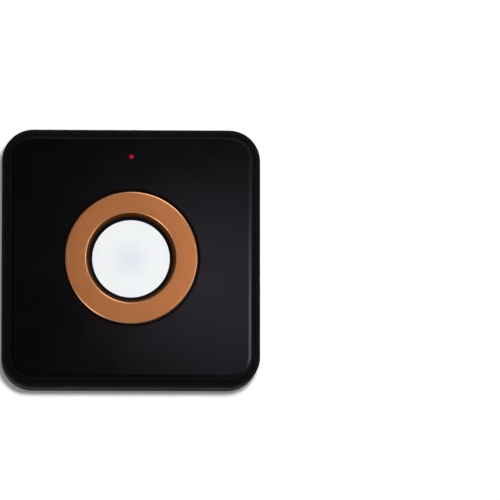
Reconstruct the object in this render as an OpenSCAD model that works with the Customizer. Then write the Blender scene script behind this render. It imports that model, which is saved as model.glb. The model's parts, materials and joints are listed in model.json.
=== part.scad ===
// Solar power meter: a square puck that lies face up and measures the sunlight on its white diffuser.
// Origin on the surface it stands on, under the middle of the case. +Z is up, +Y is the button side.
// All lengths are in millimetres.

/* [Case] */
// Width and depth of the case
case_w = 70; // [66:1:84]
// Height of the case from its underside to its face
case_h = 18.2; // [17.4:0.2:24]
// Radius of the upright corners
corner_r = 8.5; // [7.5:0.5:10]
// Radius of the round edge between the face and the sides
edge_r = 3.4; // [2.4:0.2:4.6]
// Thickness of the side walls
wall = 2.2; // [1.9:0.1:2.5]
// Thickness of the face
face_t = 2.2; // [1.9:0.1:2.4]
// Thickness of the walls where they reach down beside the base plate
skirt_t = 1.4; // [1.2:0.1:1.6]
// Chamfer round the lower edge of the case
lower_chamfer = 0.5; // [0.2:0.1:0.8]

/* [Light entry] */
// Outer diameter of the accent ring
ring_od = 35.8; // [34.4:0.2:38]
// Width of the ring's mouth at its face
ring_bore = 24.3; // [23.7:0.1:26]
// Width of the ring's throat, where its cone ends
ring_throat = 22.7; // [22.2:0.1:23.4]
// Thickness of the ring's flange
ring_flange_t = 1.6; // [1.2:0.1:1.8]
// Height of the whole ring, with its skirt
ring_h = 2.9; // [2.4:0.1:3.1]
// Outer diameter of the ring's skirt
ring_skirt_od = 28; // [27:0.2:29.4]
// How far the ring stands proud of the face
ring_proud = 0.25; // [0.1:0.05:0.5]
// Dark gap between the ring and the case
ring_gap = 0.35; // [0.2:0.05:0.6]
// Chamfer on the ring's edges
ring_chamfer = 0.25; // [0.15:0.05:0.4]
// Depth from the ring's face down to the diffuser
diffuser_depth = 4.2; // [3.9:0.1:4.8]
// Width of the diffuser that shows
aperture_d = 21; // [20:0.1:21.6]
// Full diameter of the diffuser
diffuser_d = 23.3; // [22.7:0.1:23.9]
// Thickness of the diffuser
diffuser_t = 2.1; // [1.7:0.1:2.5]

/* [Indicator] */
// Distance from the case's far side to the middle of the light
light_inset = 7.6; // [7.4:0.1:8.2]
// Diameter of the light pipe's tip in the face
pipe_tip_d = 1.2; // [0.9:0.1:1.5]
// Diameter of the light pipe's rod
pipe_d = 2.1; // [1.8:0.1:2.3]

/* [Power button] */
// Width of the button
button_w = 8.6; // [7:0.2:10]
// Height of the button
button_h = 3.4; // [2.8:0.1:3.8]
// Travel of the button
button_travel = 0.4; // [0.2:0.05:0.5]
// Depth of the finger recess round the button
dish_depth = 0.6; // [0.4:0.1:0.8]
// Rim of the finger recess outside the button
dish_rim = 1.6; // [1:0.1:2.4]

/* [Battery] */
// Diameter of the round cell
cell_d = 20; // [19:0.5:20.5]
// Thickness of the round cell
cell_h = 3.2; // [2.5:0.1:3.4]
// Thickness of the battery door's floor
door_t = 1.5; // [1.4:0.05:1.6]
// Angle that the door turns from locked to open
door_turn = 50; // [44:1:52]
// Angle that each bayonet lug covers
lug_angle = 26; // [20:1:28]
// Radial reach of each bayonet lug
lug_reach = 1.2; // [0.9:0.1:1.4]
// Thickness of each bayonet lug
lug_t = 1; // [0.8:0.1:1.2]
// Width of the coin slot
slot_w = 2; // [1.6:0.1:2.4]
// Length of the coin slot
slot_l = 15; // [12:0.5:17]
// Depth of the coin slot
slot_deep = 0.7; // [0.5:0.05:0.8]

/* [Base] */
// Thickness of the base plate
base_t = 2.6; // [2.5:0.1:3]
// Diameter of each rubber foot
foot_d = 9; // [8:0.2:9.6]
// Height of each rubber foot
foot_h = 1.5; // [1.2:0.1:2]
// Depth of the pocket that each foot sits in
foot_pocket = 0.7; // [0.5:0.1:0.8]
// Distance from the case's sides to the middle of each case screw
boss_inset = 7.6; // [7.2:0.1:8.6]
// Bore of the tripod insert, for a quarter inch screw
insert_bore = 6.3; // [6.2:0.05:6.4]
// Outer diameter of the tripod insert
insert_d = 8; // [7.6:0.1:8.4]
// Length of the tripod insert
insert_l = 5.2; // [4.6:0.1:5.6]

/* [Board] */
// Thickness of the circuit board
board_t = 1.6; // [1:0.1:1.8]
// Room between the cell and the board for the contacts
contact_room = 1.5; // [1.2:0.1:2]
// Gap between the board's edges and the case walls
board_gap = 2; // [1.9:0.1:2.4]

/* [Hidden] */
$fn = 96;
over = 1;
sink = 0.4;
slip = 0.15;
turn_gap = 0.1;
fine_gap = 0.05;
corners = [[1, 1], [-1, 1], [-1, -1], [1, -1]];

// Heights, from the feet up to the face
foot_stand = foot_h - foot_pocket;
z_under = foot_stand;
base_top = z_under + base_t;
z_face = z_under + case_h;
z_ceiling = z_face - face_t;
z_top = z_face + ring_proud;

// The case
half_w = case_w / 2;
corner_at = half_w - corner_r;
inner_edge_least = 0.6;
inner_edge_r = max(edge_r - face_t, inner_edge_least);
boss_at = half_w - boss_inset;
boss_r = 3.2;
rib_t = 1.2;
pad_rise = 1.6;
boss_low = base_top + pad_rise + turn_gap;

// Screws: each has a pan head with a hexagon socket
case_screw_d = 2.4;
case_screw_l = 8;
case_head_d = 4.6;
case_head_h = 1.4;
small_screw_d = 1.8;
small_head_d = 3.4;
small_head_h = 1.2;
board_screw_l = 5;
holder_screw_l = 4;
socket_share = 0.45;
socket_deep_share = 0.6;
tip_share = 0.3;
head_room = 0.2;
head_seat = z_under + foot_pocket + head_room + case_head_h;

// The light entry, from the ring down to the sensor
ring_floor = z_top - ring_flange_t;
skirt_floor = z_top - ring_h;
ring_bed_rim = 2;
ring_bed_t = 1.8;
ring_bed_r = ring_od / 2 + ring_gap + ring_bed_rim;
aperture_land = 0.2;
diffuser_top = z_top - diffuser_depth;
diffuser_low = diffuser_top - diffuser_t;
diffuser_chamfer = 0.3;
pocket_r = diffuser_d / 2 + slip;
seal_groove = 0.8;
seal_groove_h = 1;
seal_cord = 0.84;
spigot_h = 0.5;
hub_low = diffuser_low - spigot_h;
holder_screw_wall = 1.5;
holder_screw_angles = [30, 150, 270];
hub_wall = 2.2;
holder_screw_at = pocket_r + seal_groove + holder_screw_wall;
hub_r = holder_screw_at + hub_wall;
holder_flange_t = 1.4;
holder_flange_low = hub_low - holder_flange_t;
spigot_wall = 1;
filter_d = 10.2;
filter_t = 1;
filter_lift = 1.3;
filter_ledge = 0.8;
tube_wall = 1.4;
photodiode_w = 5;
photodiode_h = 0.9;
photodiode_rim = 0.8;
photodiode_deep = 0.3;

// The battery and its bayonet door
cell_gap = 0.2;
cell_low = z_under + door_t + cell_gap;
cell_top = cell_low + cell_h;
cell_cap_inset = 1.3;
cell_cap_h = 0.4;
cell_chamfer = 0.3;
cup_wall = 0.85;
cup_r = cell_d / 2 + slip;
plug_r = cup_r + cup_wall;
hole_r = plug_r + turn_gap;
lug_r = plug_r + lug_reach;
channel_r = lug_r + slip;
collar_w = 1;
collar_r = channel_r + collar_w;
collar_rise = lug_t + sink;
flange_w = 2.2;
flange_r = plug_r + flange_w;
counterbore_r = flange_r + turn_gap;
counterbore_top = z_under + door_t + turn_gap;
lug_low = base_top + turn_gap;
lug_top = lug_low + lug_t;
cup_rim_rise = 0.2;
cup_top = lug_top + cup_rim_rise;
lug_rest_angles = [90, 210, 330];
notch_spare = 2;
notch_outer_r = lug_r + turn_gap;
notch_angle = lug_angle + notch_spare;
stop_angle = 7;
stop_gap_angle = 1.5;
door_seal_r = plug_r + flange_w / 2;
door_seal_cord = 0.8;
door_groove_w = 1.1;
door_groove_h = 0.8;
door_margin = 0.85;

// The base plate, sunk into the cover, with its gasket in a groove round the edge
plate_reach = corner_r - skirt_t - slip;
plate_half = half_w - skirt_t - slip;
plate_chamfer = 0.3;
gasket_groove = 0.7;
gasket_groove_h = 1;
gasket_cord = 0.8;
door_y = -(plate_half - gasket_groove - door_margin - counterbore_r);
insert_wall = 1.4;
insert_low = z_under + turn_gap;
insert_top = insert_low + insert_l;
insert_roof = 0.6;
insert_boss_r = insert_d / 2 + insert_wall;
insert_boss_top = insert_top + insert_roof;
boss_merge = 0.15;
insert_y = door_y + collar_r + insert_boss_r - boss_merge;
knurl_deep = 0.25;
knurl_teeth = 24;
insert_collar_h = 0.8;
base_rib_h = 1.2;

// The board and what stands on it
board_clear = 0.4;
board_low = max(cell_top + contact_room, insert_boss_top + board_clear);
board_top = board_low + board_t;
board_half = half_w - wall - board_gap;
notch_r = sqrt(2) * (board_half - boss_at) + boss_r + board_clear;
standoff_inset = 8.8;
standoff_at = board_half - standoff_inset;
standoff_r = 2.2;
radio_w = 10;
radio_l = 14;
radio_t = 0.8;
radio_edge = 0.6;
radio_x = -(board_half - radio_edge - radio_w / 2);
shield_w = 8.6;
shield_h = 1.2;
shield_t = 0.2;
shield_edge = 0.7;
shield_hole_d = 1;
antenna_l = 5;
antenna_w = 2;
antenna_h = 1.1;
antenna_edge = 0.6;
chip_edge = 3.4;
controller_w = 7;
controller_h = 0.9;
controller_y = 5;
pin_mark_d = 0.8;
pin_mark_deep = 0.1;
pin_mark_inset = 1.2;
chip_column = board_half - chip_edge - controller_w / 2;
crystal_w = 3.2;
crystal_l = 2.5;
crystal_h = 0.8;
crystal_rim = 0.25;
crystal_y = -2.4;
amplifier_w = 3.9;
amplifier_l = 4.9;
amplifier_h = 1.5;
amplifier_y = -9.4;
lead_rows = 4;
lead_pitch = 1.27;
lead_w = 0.4;
lead_t = 0.2;
lead_reach = 1.05;
lead_rise = 0.75;
part_w = 1.6;
part_l = 0.8;
part_h = 0.55;
part_end = 0.3;
part_body_drop = 0.08;
part_pitch = 2.7;
part_row_gap = 0.5;
parts_in_row = 4;
part_rows = [
    controller_y + controller_w / 2 + part_row_gap + part_l / 2,
    amplifier_y - amplifier_l / 2 - part_row_gap - part_l / 2
];
part_shares = [
    [-0.3, 0.72], [-0.2, 0.72], [-0.1, 0.72], [0.14, 0.72],
    [-0.86, 0.34], [-0.74, 0.34], [0.33, 0.1], [0.33, -0.1]
];
led_w = 1.6;
led_l = 0.8;
led_h = 0.7;
led_base_share = 0.45;

// The light pipe, from the face down to the lamp on the board
light_y = half_w - light_inset;
pipe_tip_l = 1.2;
pipe_shoulder = z_face - pipe_tip_l;
pipe_low = board_top + led_h + head_room;
sleeve_wall = 1;
sleeve_clear = 3.9;
sleeve_low = board_top + sleeve_clear;

// The power button, its seal and the side-pushed switch
switch_axis = 2.1;
button_z = board_top + switch_axis;
button_r = 1.2;
button_inset = 0.15;
button_edge = 0.25;
button_lip = 1;
button_lip_t = 0.8;
seal_plate_t = 0.35;
inner_wall_y = half_w - wall;
button_lip_y = inner_wall_y - seal_plate_t - turn_gap;
plunger_front = button_lip_y - button_lip_t - fine_gap;
plunger_out = 0.7;
plunger_w = 2.4;
plunger_h = 1.4;
plunger_tail = 0.9;
switch_front = plunger_front - plunger_out;
switch_w = 6.2;
switch_deep = 2;
switch_h = 3.6;
switch_pin_w = 0.8;
switch_pin_h = 0.3;

// Contacts
contact_t = 0.25;
contact_gap = 0.04;
contact_foot = 1.6;
contact_angle = 50;
leaf_w = 4;
leaf_far = 9.6;
leaf_near = 7.2;
leaf_flat = 0.8;
leaf_hook = 2;
leaf_hook_rise = 0.5;

// Profile of a case side, seen in the plane that holds a corner's axis
module rim_profile(reach, low, high, top_r, low_c) {
    round_at = reach - top_r;
    polygon([
        [0, low], [reach - low_c, low], [reach, low + low_c], [reach, high - top_r],
        [round_at, high - top_r], [round_at, high], [0, high]
    ]);
    if (top_r > 0)
        intersection() {
            translate([round_at, high - top_r]) circle(top_r);
            translate([round_at, high - top_r]) square(top_r);
        }
}

// Carries a profile round the four corners and along the four sides of the case
module along_rim() {
    for (turn = [0:3])
        rotate(90 * turn) {
            translate([corner_at, corner_at, 0]) rotate_extrude(angle = 90) children();
            translate([corner_at, corner_at, 0]) rotate([90, 0, 0]) linear_extrude(2 * corner_at) children();
        }
}

// A block with upright round corners, and round or chamfered edges
module rounded_block(reach, low, high, top_r, low_c) {
    along_rim() rim_profile(reach, low, high, top_r, low_c);
    translate([-corner_at, -corner_at, low]) cube([2 * corner_at, 2 * corner_at, high - low]);
}

// A rectangle with round corners, about its middle
module soft_rectangle(w, h, r) {
    square([w, h - 2 * r], center = true);
    square([w - 2 * r, h], center = true);
    for (c = corners)
        translate([c[0] * (w / 2 - r), c[1] * (h / 2 - r)]) circle(r);
}

// A flat shape of the far wall, from y_outer inwards by its depth
module in_far_wall(y_outer, depth) {
    translate([0, y_outer, button_z]) rotate([90, 0, 0]) linear_extrude(depth) children();
}

// A block that stands on z = low, about a point
module block(x, y, low, w, l, h) {
    translate([x - w / 2, y - l / 2, low]) cube([w, l, h]);
}

// A screw driven upwards: its head's seat is at z = 0 and its tip points up
module screw(d, l, head_d, head_h) {
    tip = d * tip_share;
    difference() {
        translate([0, 0, -head_h]) cylinder(d = head_d, h = head_h);
        translate([0, 0, -head_h - over])
            cylinder(d = head_d * socket_share, h = over + head_h * socket_deep_share, $fn = 6);
    }
    cylinder(d = d, h = l - tip);
    translate([0, 0, l - tip]) cylinder(d1 = d, d2 = d - tip, h = tip);
}

// A sector of a ring about the door's axis, from one angle to another
module door_sector(from, angle, inner, outer, low, high) {
    translate([0, door_y, 0]) rotate(from) rotate_extrude(angle = angle)
        translate([inner, low]) square([outer - inner, high - low]);
}

module top_cover() {
    color("#1d1c20")
    difference() {
        union() {
            difference() {
                rounded_block(corner_r, z_under, z_face, edge_r, lower_chamfer);
                rounded_block(corner_r - wall, z_under - over, z_ceiling, inner_edge_r, 0);
                rounded_block(corner_r - skirt_t, z_under - over, base_top, 0, 0);
            }
            cover_hub();
            cover_bosses();
        }
        cover_light_cuts();
        cover_screw_cuts();
        in_far_wall(half_w + over, wall + 2 * over)
            soft_rectangle(button_w + 2 * slip, button_h + 2 * slip, button_r + slip);
        in_far_wall(half_w + over, dish_depth + over)
            soft_rectangle(button_w + 2 * dish_rim, button_h + 2 * dish_rim, button_r + dish_rim);
    }
}

// The thick bed under the ring, the hub round the diffuser and the sleeve round the light pipe
module cover_hub() {
    translate([0, 0, ring_floor - ring_bed_t]) cylinder(r = ring_bed_r, h = z_ceiling - ring_floor + ring_bed_t + sink);
    translate([0, 0, hub_low]) cylinder(r = hub_r, h = z_ceiling - hub_low + sink);
    translate([0, light_y, sleeve_low]) cylinder(r = pipe_d / 2 + slip + sleeve_wall, h = z_ceiling - sleeve_low + sink);
}

// Corner bosses with their ribs, and the standoffs that hold the board
module cover_bosses() {
    boss_h = z_ceiling - boss_low + sink;
    rib_l = half_w - wall - boss_at + sink;
    for (c = corners) {
        translate([c[0] * boss_at, c[1] * boss_at, boss_low]) cylinder(r = boss_r, h = boss_h);
        block(c[0] * (boss_at + rib_l / 2), c[1] * boss_at, boss_low, rib_l, rib_t, boss_h);
        block(c[0] * boss_at, c[1] * (boss_at + rib_l / 2), boss_low, rib_t, rib_l, boss_h);
        translate([c[0] * standoff_at, c[1] * standoff_at, board_top])
            cylinder(r = standoff_r, h = z_ceiling - board_top + sink);
    }
}

// Seats of the ring, its skirt and the diffuser, with the dark cone between them, and the light pipe's bore
module cover_light_cuts() {
    translate([0, 0, ring_floor]) cylinder(r = ring_od / 2 + ring_gap, h = ring_flange_t + over);
    translate([0, 0, skirt_floor]) cylinder(r = ring_skirt_od / 2 + fine_gap, h = ring_h + over);
    translate([0, 0, diffuser_top + aperture_land])
        cylinder(r1 = aperture_d / 2, r2 = ring_throat / 2, h = skirt_floor - diffuser_top - aperture_land);
    translate([0, 0, hub_low - over]) cylinder(r = aperture_d / 2, h = skirt_floor - hub_low + over - aperture_land);
    translate([0, 0, hub_low - over]) cylinder(r = pocket_r, h = diffuser_top - hub_low + over);
    translate([0, 0, diffuser_low + diffuser_t / 2 - seal_groove_h / 2])
        cylinder(r = pocket_r + seal_groove, h = seal_groove_h);
    translate([0, light_y, sleeve_low - over])
        cylinder(r = pipe_d / 2 + slip, h = pipe_shoulder - sleeve_low + over);
    translate([0, light_y, sleeve_low]) cylinder(r = pipe_tip_d / 2 + fine_gap, h = z_face - sleeve_low + over);
}

// Pilot holes for the case screws, the board screws and the holder's screws
module cover_screw_cuts() {
    for (c = corners) {
        translate([c[0] * boss_at, c[1] * boss_at, boss_low - over])
            cylinder(d = case_screw_d + fine_gap, h = head_seat + case_screw_l + head_room - boss_low + over);
        translate([c[0] * standoff_at, c[1] * standoff_at, board_top - over])
            cylinder(d = small_screw_d + fine_gap, h = board_screw_l - board_t + head_room + over);
    }
    for (turn = holder_screw_angles)
        rotate(turn) translate([holder_screw_at, 0, hub_low - over])
            cylinder(d = small_screw_d + fine_gap, h = holder_screw_l - holder_flange_t + head_room + over);
}

// Turned ring with chamfered edges, a conical throat and a skirt that locates it in the face
module accent_ring() {
    color("#b87348")
    rotate_extrude()
    polygon([
        [ring_bore / 2 + ring_chamfer, z_top], [ring_od / 2 - ring_chamfer, z_top],
        [ring_od / 2, z_top - ring_chamfer], [ring_od / 2, ring_floor],
        [ring_skirt_od / 2, ring_floor], [ring_skirt_od / 2, skirt_floor],
        [ring_throat / 2, skirt_floor], [ring_bore / 2, z_top - ring_chamfer]
    ]);
}

module diffuser() {
    color("#eef1f3")
    rotate_extrude()
    polygon([
        [0, diffuser_low], [diffuser_d / 2 - diffuser_chamfer, diffuser_low],
        [diffuser_d / 2, diffuser_low + diffuser_chamfer], [diffuser_d / 2, diffuser_top],
        [0, diffuser_top]
    ]);
}

module diffuser_seal() {
    color("#3b3b40")
    rotate_extrude()
    translate([diffuser_d / 2 + fine_gap + seal_cord / 2, diffuser_low + diffuser_t / 2])
    circle(d = seal_cord);
}

// Black cup that clamps the diffuser, holds the filter and keeps stray light off the photodiode
module sensor_holder() {
    tube_low = board_top + head_room;
    filter_low = board_top + filter_lift;
    filter_r = filter_d / 2 + fine_gap;
    spigot_r = pocket_r - slip;
    color("#26262a")
    difference() {
        rotate_extrude()
        polygon([
            [filter_r - filter_ledge, tube_low], [filter_r + tube_wall, tube_low],
            [filter_r + tube_wall, holder_flange_low], [hub_r, holder_flange_low], [hub_r, hub_low],
            [spigot_r, hub_low], [spigot_r, diffuser_low], [spigot_r - spigot_wall, diffuser_low],
            [filter_r, filter_low + filter_t + turn_gap], [filter_r, filter_low],
            [filter_r - filter_ledge, filter_low]
        ]);
        for (turn = holder_screw_angles)
            rotate(turn) translate([holder_screw_at, 0, holder_flange_low - over])
                cylinder(d = small_screw_d + 2 * fine_gap, h = holder_flange_t + 2 * over);
    }
}

module holder_screws() {
    color("#b9bcc0")
    for (turn = holder_screw_angles)
        rotate(turn) translate([holder_screw_at, 0, holder_flange_low])
            screw(small_screw_d, holder_screw_l, small_head_d, small_head_h);
}

module optical_filter() {
    color("#6f8f9a")
    translate([0, 0, board_top + filter_lift]) cylinder(d = filter_d, h = filter_t);
}

// Ceramic carrier with its dark sensor chip sunk in a window
module photodiode() {
    window_w = photodiode_w - 2 * photodiode_rim;
    color("#d9d4c6")
    difference() {
        block(0, 0, board_top, photodiode_w, photodiode_w, photodiode_h);
        block(0, 0, board_top + photodiode_h - photodiode_deep, window_w, window_w, photodiode_deep + over);
    }
    color("#30344a")
    block(0, 0, board_top + photodiode_h - photodiode_deep, window_w - 2 * photodiode_deep,
        window_w - 2 * photodiode_deep, photodiode_deep / 2);
}

// Board with its corners cut round the screw bosses
module circuit_board() {
    color("#1f5b3c")
    translate([0, 0, board_low])
    linear_extrude(board_t)
    difference() {
        square(2 * board_half, center = true);
        for (c = corners) {
            translate([c[0] * board_half, c[1] * board_half]) circle(notch_r);
            translate([c[0] * standoff_at, c[1] * standoff_at]) circle(d = small_screw_d + 2 * fine_gap);
        }
    }
}

module board_screws() {
    color("#b9bcc0")
    for (c = corners)
        translate([c[0] * standoff_at, c[1] * standoff_at, board_low])
            screw(small_screw_d, board_screw_l, small_head_d, small_head_h);
}

// Daughter board with the antenna at its free end
module radio_module() {
    antenna_y = radio_l / 2 - antenna_edge - antenna_w / 2;
    color("#1d3f58")
    block(radio_x, 0, board_top, radio_w, radio_l, radio_t);
    color("#e8e4da")
    block(radio_x, antenna_y, board_top + radio_t, antenna_l, antenna_w, antenna_h);
}

// Pressed can, open underneath, with one test hole in its lid
module radio_shield() {
    shield_y = -(radio_l / 2 - shield_edge - shield_w / 2);
    low = board_top + radio_t;
    color("#c3c6c9")
    difference() {
        block(radio_x, shield_y, low, shield_w, shield_w, shield_h);
        block(radio_x, shield_y, low - over, shield_w - 2 * shield_t, shield_w - 2 * shield_t, shield_h + over - shield_t);
        translate([radio_x, shield_y, low]) cylinder(d = shield_hole_d, h = shield_h + over);
    }
}

module microcontroller() {
    mark_at = controller_w / 2 - pin_mark_inset;
    color("#232326")
    difference() {
        block(chip_column, controller_y, board_top, controller_w, controller_w, controller_h);
        translate([chip_column - mark_at, controller_y + mark_at, board_top + controller_h - pin_mark_deep])
            cylinder(d = pin_mark_d, h = pin_mark_deep + over);
    }
}

// Eight-legged chip: four bent leads leave each long side
module amplifier() {
    body_low = board_top + lead_t / 2;
    color("#232326")
    block(chip_column, amplifier_y, body_low, amplifier_w, amplifier_l, amplifier_h - lead_t / 2);
    color("#c9cbcd")
    for (side = [-1, 1], row = [1:lead_rows])
        translate([chip_column, amplifier_y + (row - (lead_rows + 1) / 2) * lead_pitch, board_top])
        rotate(side < 0 ? 180 : 0)
        amplifier_lead();
}

// One bent lead: out of the body, down, and flat on the board
module amplifier_lead() {
    start = amplifier_w / 2;
    knee = start + lead_reach / 2;
    translate([0, lead_w / 2, 0]) rotate([90, 0, 0]) linear_extrude(lead_w)
    polygon([
        [start - lead_t, lead_rise], [knee - lead_t, lead_rise], [knee - lead_t, 0], [start + lead_reach, 0],
        [start + lead_reach, lead_t], [knee, lead_t], [knee, lead_rise + lead_t], [start - lead_t, lead_rise + lead_t]
    ]);
}

module crystal() {
    color("#c8cacc")
    union() {
        block(chip_column, crystal_y, board_top, crystal_w, crystal_l, crystal_h / 2);
        block(chip_column, crystal_y, board_top, crystal_w - 2 * crystal_rim, crystal_l - 2 * crystal_rim, crystal_h);
    }
}

// A row of parts beside each chip, and the rest spread over the board
module chip_components() {
    color("#a48a63") {
        for (y = part_rows, place = [1:parts_in_row])
            chip_part(chip_column + (place - (parts_in_row + 1) / 2) * part_pitch, y);
        for (share = part_shares)
            chip_part(share[0] * board_half, share[1] * board_half);
    }
}

// A resistor or capacitor: a body between two raised end caps
module chip_part(x, y) {
    block(x, y, board_top, part_w - part_end, part_l - part_end, part_h - part_body_drop);
    for (end = [-1, 1])
        block(x + end * (part_w - part_end) / 2, y, board_top, part_end, part_l, part_h);
}

module indicator_led() {
    color("#e3e0d8")
    block(0, light_y, board_top, led_w, led_l, led_h * led_base_share);
    color("#d2333f")
    block(0, light_y, board_top + led_h * led_base_share, led_w - led_h, led_l, led_h * (1 - led_base_share));
}

// Clear rod with a shoulder: the thin tip is flush with the face
module light_pipe() {
    color("#a51d31")
    translate([0, light_y, 0])
    rotate_extrude()
    polygon([
        [0, pipe_low], [pipe_d / 2, pipe_low], [pipe_d / 2, pipe_shoulder], [pipe_tip_d / 2, pipe_shoulder],
        [pipe_tip_d / 2, z_face], [0, z_face]
    ]);
}

// Housing of the side-pushed switch, with the bay its plunger slides in
module tact_switch() {
    bay = plunger_tail + button_travel + head_room;
    color("#3a3a3d")
    difference() {
        translate([-switch_w / 2, switch_front - switch_deep, board_top]) cube([switch_w, switch_deep, switch_h]);
        translate([-plunger_w / 2 - slip, switch_front - bay, button_z - plunger_h / 2 - slip])
            cube([plunger_w + 2 * slip, bay + over, plunger_h + 2 * slip]);
    }
    color("#c9cbcd")
    for (side = [-1, 1])
        block(side * (switch_w + switch_pin_w) / 2, switch_front - switch_deep / 2, board_top, switch_pin_w,
            switch_pin_w, switch_pin_h);
}

module switch_plunger() {
    color("#d8d3c4")
    translate([-plunger_w / 2, switch_front - plunger_tail, button_z - plunger_h / 2])
    cube([plunger_w, plunger_tail + plunger_out, plunger_h]);
}

// Cap in the far wall, with a lip behind the wall that keeps it in
module power_button() {
    cap_front = half_w - button_inset;
    color("#232226")
    union() {
        in_far_wall(cap_front, button_edge)
            soft_rectangle(button_w - 2 * button_edge, button_h - 2 * button_edge, button_r - button_edge);
        in_far_wall(cap_front - button_edge, cap_front - button_edge - button_lip_y)
            soft_rectangle(button_w, button_h, button_r);
        in_far_wall(button_lip_y, button_lip_t)
            soft_rectangle(button_w + 2 * button_lip, button_h + 2 * button_lip, button_r + button_lip);
    }
}

// Silicone plate on the wall's inner side, round the cap
module button_seal() {
    color("#4a4a4f")
    in_far_wall(inner_wall_y, seal_plate_t)
    difference() {
        soft_rectangle(button_w + 2 * button_lip, button_h + 2 * button_lip, button_r + button_lip);
        soft_rectangle(button_w + 2 * slip, button_h + 2 * slip, button_r + slip);
    }
}

// Round cell: the wide can below, and the narrower end cap above
module coin_cell() {
    can_top = cell_top - cell_cap_h;
    cap_r = cell_d / 2 - cell_cap_inset;
    color("#c9cbcd")
    translate([0, door_y, 0])
    rotate_extrude()
    polygon([
        [0, cell_low], [cell_d / 2 - cell_chamfer, cell_low], [cell_d / 2, cell_low + cell_chamfer],
        [cell_d / 2, can_top - cell_chamfer], [cell_d / 2 - cell_chamfer, can_top], [cap_r, can_top],
        [cap_r, cell_top], [0, cell_top]
    ]);
}

// Spring plate bent round the side of the cell, with a foot on the board
module battery_contact_plus() {
    inner = cell_d / 2 + contact_gap;
    outer = inner + contact_t;
    low = cup_top + head_room;
    color("#d3b45d")
    translate([0, door_y, 0])
    rotate(-contact_angle / 2)
    rotate_extrude(angle = contact_angle)
    polygon([
        [inner, low], [outer, low], [outer, board_low - contact_t], [outer + contact_foot, board_low - contact_t],
        [outer + contact_foot, board_low], [inner, board_low]
    ]);
}

// Leaf spring from the board's underside down to the middle of the cell, with a turned-up end
module battery_contact_minus() {
    tip = cell_top + contact_gap;
    lower = [
        [leaf_far, board_low - contact_t], [leaf_near, board_low - contact_t], [leaf_flat, tip],
        [-leaf_flat, tip], [-leaf_hook, tip + leaf_hook_rise]
    ];
    upper = [for (i = [len(lower) - 1:-1:0]) lower[i] + [0, contact_t]];
    color("#d3b45d")
    translate([-leaf_w / 2, door_y, 0])
    rotate([90, 0, 90])
    linear_extrude(leaf_w)
    polygon(concat(lower, upper));
}

// Round cover with a cup for the cell, three bayonet lugs, a seal groove and a coin slot
module battery_door() {
    floor_top = z_under + door_t;
    color("#242327")
    difference() {
        union() {
            translate([0, door_y, z_under]) cylinder(r = flange_r, h = door_t);
            translate([0, door_y, z_under]) cylinder(r = plug_r, h = cup_top - z_under);
            for (rest = lug_rest_angles)
                door_sector(rest - lug_angle / 2, lug_angle, plug_r - sink, lug_r, lug_low, lug_top);
        }
        translate([0, door_y, floor_top]) cylinder(r = cup_r, h = cup_top - floor_top + over);
        translate([0, door_y, floor_top - door_groove_h]) difference() {
            cylinder(r = door_seal_r + door_groove_w / 2, h = door_groove_h + turn_gap);
            cylinder(r = door_seal_r - door_groove_w / 2, h = door_groove_h + turn_gap);
        }
        translate([0, door_y, z_under - over])
            linear_extrude(slot_deep + over) soft_rectangle(slot_l, slot_w, slot_w / 2 - fine_gap);
    }
}

module door_seal() {
    color("#3b3b40")
    translate([0, door_y, 0])
    rotate_extrude()
    translate([door_seal_r, z_under + door_t - door_groove_h + fine_gap + door_seal_cord / 2])
    circle(d = door_seal_cord);
}

// Plate with the bayonet ring for the door, pads for the corner screws and the boss of the tripod insert
module base_plate() {
    color("#1f1e22")
    union() {
        difference() {
            base_forms();
            base_door_cuts();
            base_screw_cuts();
            along_rim() translate([plate_reach - gasket_groove, z_under + base_t / 2 - gasket_groove_h / 2])
                square([gasket_groove + over, gasket_groove_h]);
        }
        for (rest = lug_rest_angles) {
            locked_stop = rest + lug_angle / 2 + stop_gap_angle;
            open_stop = rest - lug_angle / 2 - door_turn - stop_gap_angle - stop_angle;
            door_sector(locked_stop, stop_angle, hole_r + sink, channel_r + sink, base_top - sink, lug_top);
            door_sector(open_stop, stop_angle, hole_r + sink, channel_r + sink, base_top - sink, lug_top);
        }
    }
}

// Everything that stands up from the base plate, before the cuts
module base_forms() {
    rounded_block(plate_reach, z_under, base_top, 0, plate_chamfer);
    translate([0, door_y, base_top - sink]) cylinder(r = collar_r, h = collar_rise + sink);
    translate([0, insert_y, base_top - sink]) cylinder(r = insert_boss_r, h = insert_boss_top - base_top + sink);
    for (c = corners) {
        translate([c[0] * boss_at, c[1] * boss_at, base_top - sink]) cylinder(r = boss_r, h = pad_rise + sink);
        rib_way = [c[0] * boss_at, c[1] * boss_at - insert_y];
        translate([0, insert_y, base_top - sink]) rotate(atan2(rib_way[1], rib_way[0]))
            translate([insert_d / 2, -rib_t / 2, 0])
            cube([norm(rib_way) - insert_d / 2, rib_t, base_rib_h + sink]);
    }
}

// The door's counterbore, its hole, the channel that the lugs turn in and the notches they enter by
module base_door_cuts() {
    translate([0, door_y, z_under - over]) cylinder(r = counterbore_r, h = over + door_t + turn_gap);
    translate([0, door_y, z_under - over]) cylinder(r = hole_r, h = base_t + collar_rise + 2 * over);
    translate([0, door_y, base_top]) cylinder(r = channel_r, h = collar_rise + over);
    for (rest = lug_rest_angles)
        door_sector(rest - door_turn - notch_angle / 2, notch_angle, hole_r - sink, notch_outer_r,
            counterbore_top - sink, base_top + sink);
}

// Foot pockets, screw head recesses, screw holes and the hole of the tripod insert
module base_screw_cuts() {
    for (c = corners)
        translate([c[0] * boss_at, c[1] * boss_at, z_under - over]) {
            cylinder(d = foot_d + 2 * fine_gap, h = foot_pocket + over);
            cylinder(d = case_head_d + 2 * slip, h = head_seat - z_under + over);
            cylinder(d = case_screw_d + 2 * fine_gap, h = base_t + pad_rise + 2 * over);
        }
    translate([0, insert_y, z_under - over])
        cylinder(d = insert_d + fine_gap, h = insert_top - z_under + over);
}

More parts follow.
